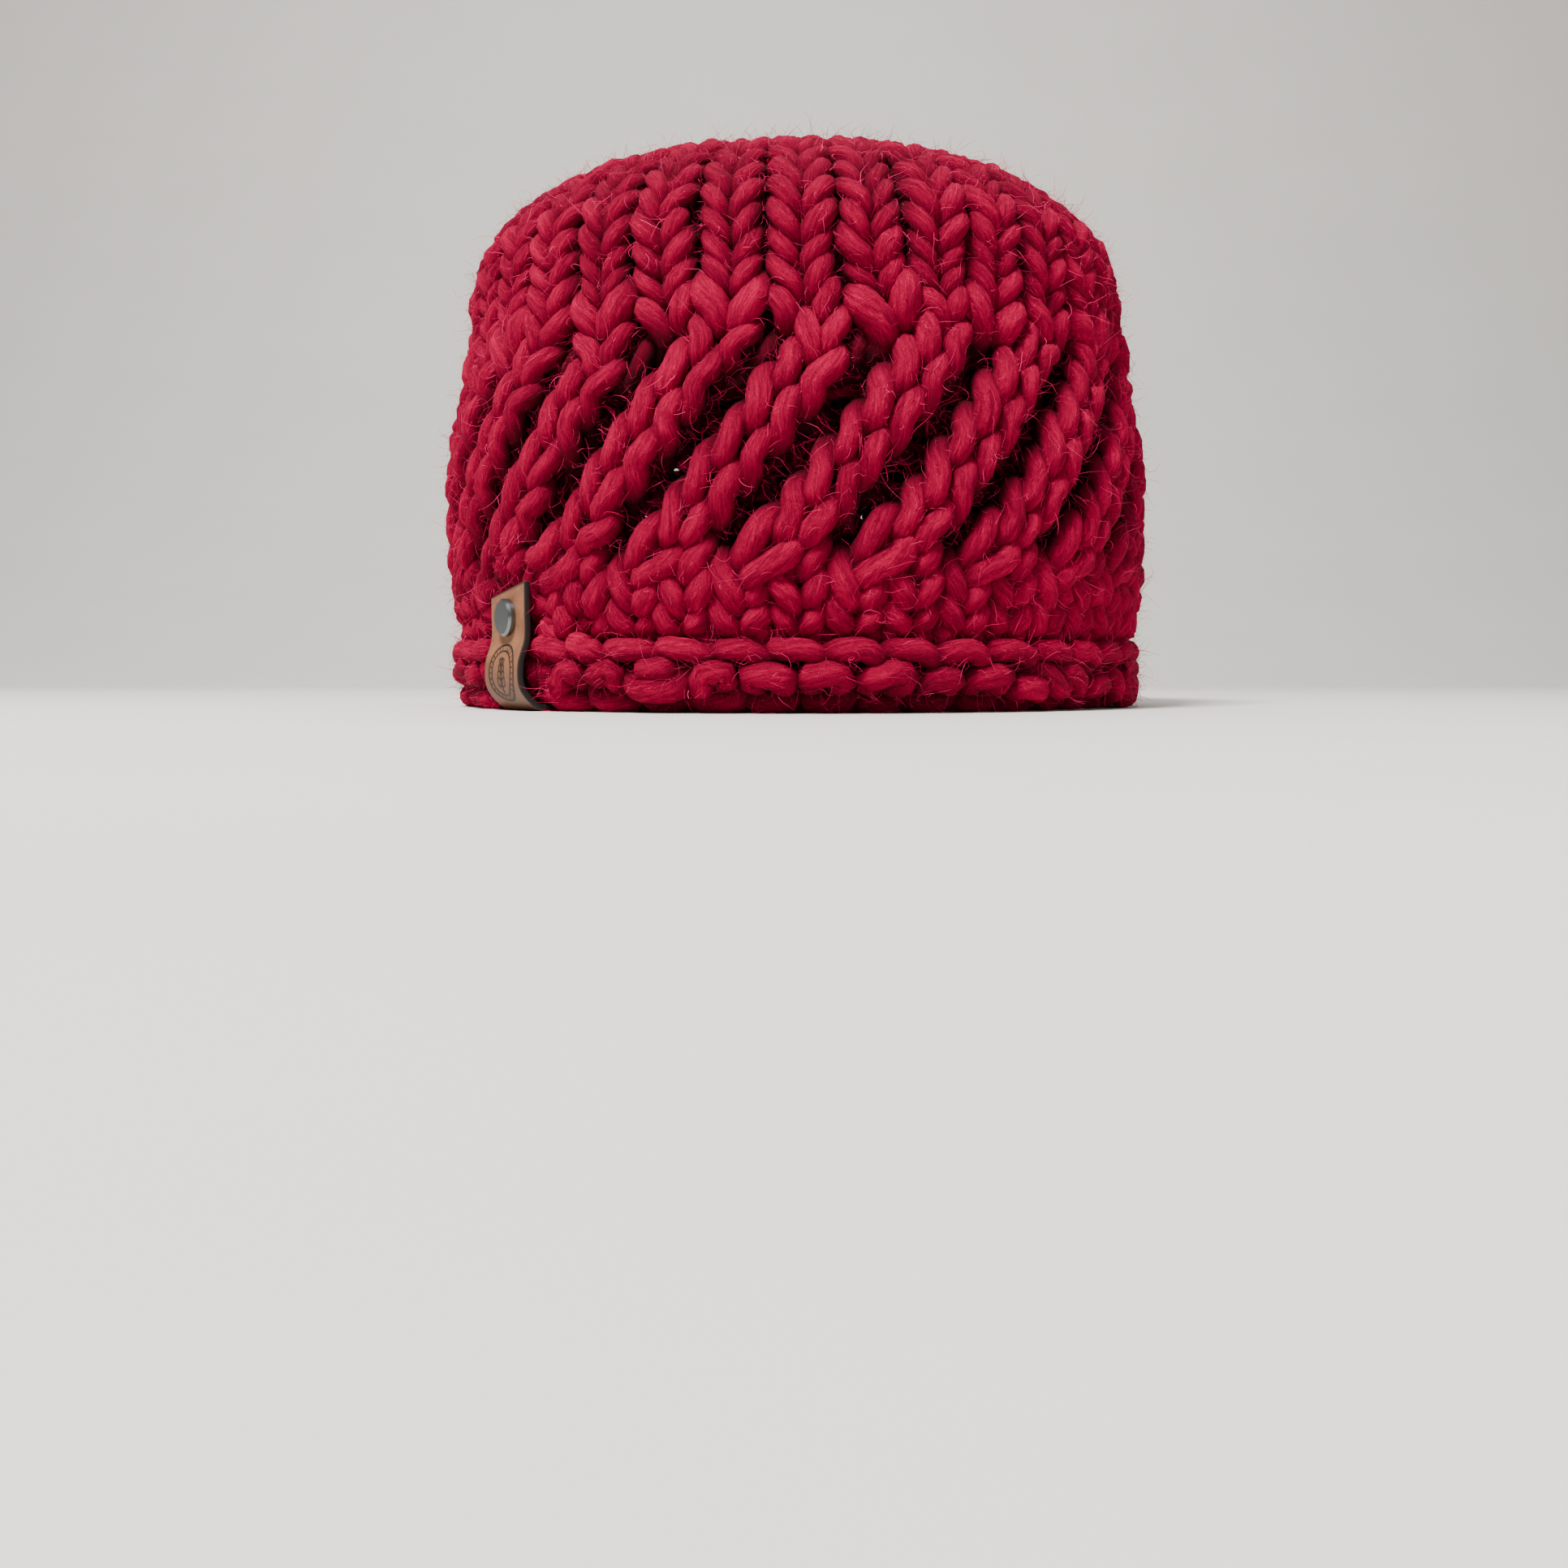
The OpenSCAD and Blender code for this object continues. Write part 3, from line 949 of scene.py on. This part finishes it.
def engraving(x, y, size):
    """Depth of the tag's motif, from 0 to 1, at points measured from its centre: two rings with short rays
    between them, round a sprig of leaves. Lengths are in units of the motif's radius."""
    x, y = 2 * x / size, 2 * y / size
    d, a = np.hypot(x, y), np.arctan2(y, x)

    def line(distance, half):
        return np.clip(2.0 - np.abs(distance) / half, 0, 1)

    outer = line(d - 0.95, 0.030)
    inner = line(d - 0.72, 0.024)
    rays = line(np.sin(a * 14) * d / 14, 0.016) * ((d > 0.77) & (d < 0.90))
    inside = d < 0.66
    stem = line(x, 0.026) * inside * (y < 0.5)
    leaves = np.zeros_like(x)
    for k, base in enumerate((-0.42, -0.18, 0.06, 0.30)):
        long = 0.40 - 0.05 * k
        turn = math.radians(42)
        for side in (-1, 1):
            u = side * x * math.cos(turn) + (y - base) * math.sin(turn)
            v = -side * x * math.sin(turn) + (y - base) * math.cos(turn)
            t = np.clip(u / long, 0, 1)
            outline = line(np.abs(v) - 0.30 * long * np.sin(math.pi * t), 0.022) * ((u > 0) & (u < long))
            vein = line(v, 0.012) * ((u > 0) & (u < 0.8 * long))
            leaves = np.maximum(leaves, np.maximum(outline, 0.6 * vein))
    return np.maximum.reduce([outer, inner, rays, stem, leaves * inside])


def leather_material(tag):
    """Vegetable-tanned leather: fine grain, darker towards the fold, with laser-burnt cuts."""
    leather = Finish("tan_leather")
    strap = leather.add("Attribute", attribute_name="strap")
    split = leather.add("SeparateXYZ", links={"Vector": strap.outputs["Vector"]})
    place = leather.add("TexCoord").outputs["Object"]
    base = linear(tag.leather)
    # grain cells of 0.4 mm, clouds of 6 mm
    grain = leather.add("TexVoronoi", {"Scale": 2500.0}, {"Vector": place}, feature="F1")
    cloud = leather.add("TexNoise", {"Scale": 160.0, "Detail": 6.0, "Roughness": 0.7}, {"Vector": place})
    tone = leather.add("MapRange", {"From Min": 0.3, "From Max": 0.7}, {"Value": cloud})
    tanned = leather.add("MixRGB", {"Color1": toned(base, 0.55), "Color2": toned(base, 1.15)}, {"Fac": tone})
    links = {"Fac": split.outputs["Z"], "Color1": tanned}
    folded = leather.add("MixRGB", {"Color2": toned(base, 0.45)}, links)
    burnt = leather.add("Math", links={0: split.outputs["X"], 1: split.outputs["Y"]}, operation="MAXIMUM")
    colour = leather.add("MixRGB", {"Color2": linear(tag.burnt)}, {"Fac": burnt, "Color1": folded})
    bump = leather.add("Bump", {"Strength": 0.35, "Distance": 0.0001}, {"Height": grain})
    values = {"Roughness": 0.55, "Specular IOR Level": 0.35}
    leather.feed(leather.shader, values, {"Base Color": colour, "Normal": bump})
    return leather.material


def metal_material(tag):
    """Gunmetal plating on brass: polished, with fine handling scratches."""
    metal = Finish("gunmetal")
    place = metal.add("TexCoord").outputs["Object"]
    # noise cells 0.33 mm wide and 2 mm long, whose fine detail is the scratches
    stretched = metal.add("VectorMath", {1: (3000.0, 3000.0, 500.0)}, {0: place}, operation="MULTIPLY")
    scratches = metal.add("TexNoise", {"Scale": 1.0, "Detail": 4.0}, {"Vector": stretched})
    rough = metal.add("MapRange", {"To Min": 0.22, "To Max": 0.42}, {"Value": scratches})
    values = {"Base Color": linear(tag.metal), "Metallic": 1.0}
    metal.feed(metal.shader, values, {"Roughness": rough})
    return metal.material


class BEANIE_OT_strap(bpy.types.Operator):
    """Cut, engrave and fold the leather tag"""

    bl_idname = "beanie.strap"
    bl_label = "Leather strap"

    def execute(self, context):
        tag = context.scene.beanie_tag
        place = TagPlace()
        width, thickness, corner = 20.0, 1.7, 0.4
        slant = math.tan(math.radians(10))  # of the cut ends
        straight = 25.0  # height above which both leaves are flat
        top = place.top - width / 2 * slant
        # middle line from the outer leaf's top round the fold: distance out from the tag's centre, height
        middle = [
            (5.0, straight), (5.1, 18.0), (6.9, 12.0), (6.6, 6.0), (2.8, 1.6), (-0.6, 0.85), (-4.0, 1.9),
            (-6.0, 6.5), (-5.6, 12.0), (-5.0, 18.0), (-5.0, straight),
        ]
        line = resample(np.vstack([[(5.0, top)], spline(middle, 8), [(-5.0, top)]]), 0.25)
        slope = unit(np.gradient(line, axis=0))
        facing = np.stack([-slope[:, 1], slope[:, 0]], axis=1)  # away from the fold's inside
        length = arc_lengths(line)
        across, off = self.section(width, thickness, corner)

        out, z = (line[:, [k]] + facing[:, [k]] * off for k in (0, 1))
        z += np.clip((z - straight) / (top - straight), 0, 1) * slant * across
        outer_leaf = np.arange(len(line)) < len(line) // 3
        centre = length[outer_leaf][np.argmin(np.abs(line[outer_leaf, 1] - MOTIF_HEIGHT))]
        cut = engraving(-across + 0 * z, centre - length[:, None] + 0 * z, tag.motif_size / MM)
        cut = cut * (off > thickness / 2 - 0.01)
        out -= cut * tag.engraving / MM * facing[:, [0]]
        z -= cut * tag.engraving / MM * facing[:, [1]]
        points = place.centre + place.side * across[None, :, None] + place.out * out[:, :, None]
        points[:, :, 2] = z

        # the cut edges are burnt within 0.65 mm, and the leather darkens from 14 mm high down to the fold
        margin = np.minimum(width / 2 - np.abs(across), np.minimum(length, length[-1] - length)[:, None])
        burnt = np.clip(1.3 - 2 * margin, 0, 1)
        fold = np.clip((14 - line[:, 1]) / 12, 0, 1)[:, None] + 0 * z
        values = np.stack([cut, burnt, fold, np.ones_like(z)], axis=-1)
        parts = MeshParts()
        parts.add(points.reshape(-1, 3), self.faces(*z.shape), values.reshape(-1, 4))
        strap = parts.build("tag_strap_leather", "strap")
        finish_piece(strap, leather_material(tag), "tag_strap")
        return {"FINISHED"}

    def section(self, width, thickness, corner):
        """Outline of the strap's cross-section: a flat bar with rounded corners, the outer face first."""
        flat = [(v, thickness / 2) for v in np.linspace(corner - width / 2, width / 2 - corner, 79)]
        bend = [math.pi / 2 * k / 4 for k in (3, 2, 1, 0)]
        x, y = width / 2 - corner, thickness / 2 - corner
        round_right = [(x + corner * math.cos(a), y + corner * math.sin(a)) for a in bend]
        half = np.array(flat + round_right + [(a, -b) for a, b in reversed(round_right)])
        outline = np.vstack([half, -half])
        return outline[:, 0], outline[:, 1]

    def faces(self, rows, cols):
        """Quads of a closed bar, rows of an outline with cols points, and of its two ends."""
        i = np.arange(rows - 1)[:, None] * cols
        j = np.arange(cols)[None, :]
        k = (j + 1) % cols
        quads = [np.stack([i + j, i + cols + j, i + cols + k, i + k], axis=-1).reshape(-1, 4)]
        # an end joins the outline's points in pairs across its thickness
        flat = cols // 2 - 8
        a = np.arange(-4, flat + 3)
        b = cols // 2 + flat - 1 - a
        for start, step in ((0, 1), ((rows - 1) * cols, -1)):
            ring = np.stack([a % cols, (a + 1) % cols, (b - 1) % cols, b % cols], axis=1) + start
            quads.append(ring[:, ::step])
        return quads


class BEANIE_OT_fastener(bpy.types.Operator):
    """Finish the screw post and its screw, which keep their CAD shapes"""

    bl_idname = "beanie.fastener"
    bl_label = "Screw post"

    def execute(self, context):
        metal = metal_material(context.scene.beanie_tag)
        for name in ("tag_post", "tag_screw"):
            mesh = frame["nodes"][name].data
            mesh.materials.clear()
            mesh.materials.append(metal)
        return {"FINISHED"}


# ---- stage


class BEANIE_OT_camera(bpy.types.Operator):
    """Place the camera low in front of the hat"""

    bl_idname = "beanie.camera"
    bl_label = "Camera"

    def execute(self, context):
        stage = context.scene.beanie_stage
        data = bpy.data.cameras.new("camera")
        data.lens = stage.lens
        data.sensor_width = 36
        data.clip_start = 0.01
        camera = add_object("camera", data)
        camera.location = (stage.eye_side, -stage.distance, stage.eye_height)
        camera.rotation_euler = (math.pi / 2 + stage.pitch, 0, 0)
        context.scene.camera = camera
        return {"FINISHED"}


class BEANIE_OT_stage(bpy.types.Operator):
    """Lay a pale floor that sweeps up behind the hat, and light it softly"""

    bl_idname = "beanie.stage"
    bl_label = "Floor and lights"

    def execute(self, context):
        stage = context.scene.beanie_stage
        sweep, steps, half_width = 0.5, 12, 2.5
        section = [(-1.6, 0.0), (sweep, 0.0)]
        for k in range(1, steps + 1):
            a = math.pi / 2 * k / steps
            section.append((sweep + sweep * math.sin(a), sweep - sweep * math.cos(a)))
        section.append((2 * sweep, 2.2))
        verts = [(x, y, z) for x in (-half_width, half_width) for y, z in section]
        n = len(section)
        faces = [(i, i + n, i + n + 1, i + 1) for i in range(n - 1)]
        mesh = bpy.data.meshes.new("floor")
        mesh.from_pydata(verts, [], faces)
        mesh.polygons.foreach_set("use_smooth", [True] * len(faces))
        mesh.materials.append(self.backdrop(linear(stage.floor)))
        add_object("floor", mesh)

        world = bpy.data.worlds.new("soft_sky")
        context.scene.world = world
        world.use_nodes = True
        sky = world.node_tree.nodes["Background"].inputs
        sky["Color"].default_value = linear("E9EEF4")
        sky["Strength"].default_value = 0.25
        lights = (
            # name, place, size, watts
            ("key", (-0.3, -0.5, 0.98), 0.25, 31.0),
            ("fill", (0.9, -0.7, 0.45), 0.6, 2.5),
            ("top", (0.0, 0.25, 1.1), 0.7, 6.0),
        )
        for name, place, size, watts in lights:
            data = bpy.data.lights.new(name, "AREA")
            data.size = size
            data.energy = watts
            light = add_object(name, data)
            light.location = place
            aim = Vector((0, 0, HAT_MIDDLE)) - Vector(place)
            light.rotation_euler = aim.to_track_quat("-Z", "Y").to_euler()
        return {"FINISHED"}

    def backdrop(self, base):
        """Matt painted board, with faint unevenness."""
        paint = Finish("pale_floor")
        grain = paint.add("TexNoise", {"Scale": 40.0, "Detail": 4.0})
        tone = paint.add("MapRange", {"From Min": 0.3, "From Max": 0.7}, {"Value": grain})
        colour = paint.add("MixRGB", {"Color1": toned(base, 0.97), "Color2": base}, {"Fac": tone})
        paint.feed(paint.shader, {"Roughness": 0.7}, {"Base Color": colour})
        return paint.material


class BEANIE_PT_panel(bpy.types.Panel):
    """The beanie's sizes, colours and making steps"""

    bl_idname = "BEANIE_PT_panel"
    bl_label = "Beanie"
    bl_space_type = "VIEW_3D"
    bl_region_type = "UI"
    bl_category = "Beanie"

    def draw(self, context):
        layout = self.layout
        for title, group in SETTINGS.items():
            box = layout.box()
            box.label(text=title)
            settings = getattr(context.scene, group[0])
            for name in group[1].__annotations__:
                box.prop(settings, name)
        for operator in OPERATORS:
            layout.operator(operator.bl_idname)


SETTINGS = {
    "Yarn": ("beanie_yarn", YarnSettings),
    "Knitting": ("beanie_knit", KnitSettings),
    "Tag": ("beanie_tag", TagSettings),
    "Stage": ("beanie_stage", StageSettings),
}
OPERATORS = (
    BEANIE_OT_camera, BEANIE_OT_knit, BEANIE_OT_ends, BEANIE_OT_strap, BEANIE_OT_fastener, BEANIE_OT_stage,
)
CLASSES = tuple(group for _, group in SETTINGS.values()) + OPERATORS + (BEANIE_PT_panel,)


def register():
    for cls in CLASSES:
        bpy.utils.register_class(cls)
    for name, group in SETTINGS.values():
        setattr(bpy.types.Scene, name, PointerProperty(type=group))


def unregister():
    for name, _ in SETTINGS.values():
        delattr(bpy.types.Scene, name)
    for cls in reversed(CLASSES):
        bpy.utils.unregister_class(cls)


def main():
    register()
    bpy.ops.beanie.camera()
    bpy.ops.beanie.knit()
    bpy.ops.beanie.ends()
    bpy.ops.beanie.strap()
    bpy.ops.beanie.fastener()
    bpy.ops.beanie.stage()


if __name__ == "__main__":
    main()
